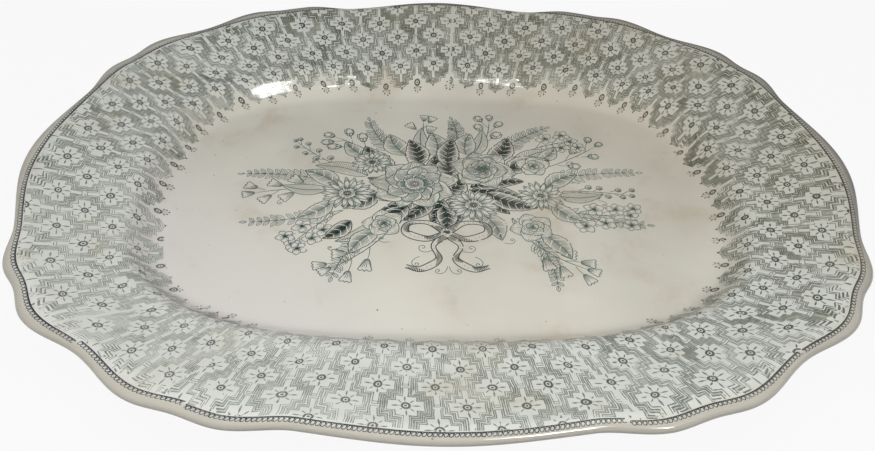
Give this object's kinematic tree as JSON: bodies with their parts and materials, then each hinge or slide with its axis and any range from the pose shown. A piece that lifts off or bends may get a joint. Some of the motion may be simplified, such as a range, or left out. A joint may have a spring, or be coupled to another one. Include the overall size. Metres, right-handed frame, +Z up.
{
  "type": "oval platter",
  "caption": "Oval earthenware serving platter with a scalloped rolled edge, a wide printed border, a flat well and a low foot ring.",
  "frame": {"origin": "centre of the foot ring's resting face, on the surface that the platter stands on", "axes": "+X along the platter's length, +Y across it, +Z up out of the well"},
  "size_m": [0.49, 0.394, 0.0445],
  "materials": {
    "clay": "fired earthenware, cream, bare only at the foot",
    "glaze": "clear lead glaze, glossy, faintly crazed",
    "ink": "grey-green printed ceramic colour under the glaze"
  },
  "bodies": {
    "root": {"body": "clay", "foot_ring": "clay", "glaze": "glaze", "base_glaze": "glaze", "centre_print": "ink", "edge_print": "ink", "border_print_1": "ink", "border_print_2": "ink", "border_print_3": "ink", "border_print_4": "ink", "border_print_5": "ink", "border_print_6": "ink", "border_print_7": "ink"}
  },
  "joints": []
}
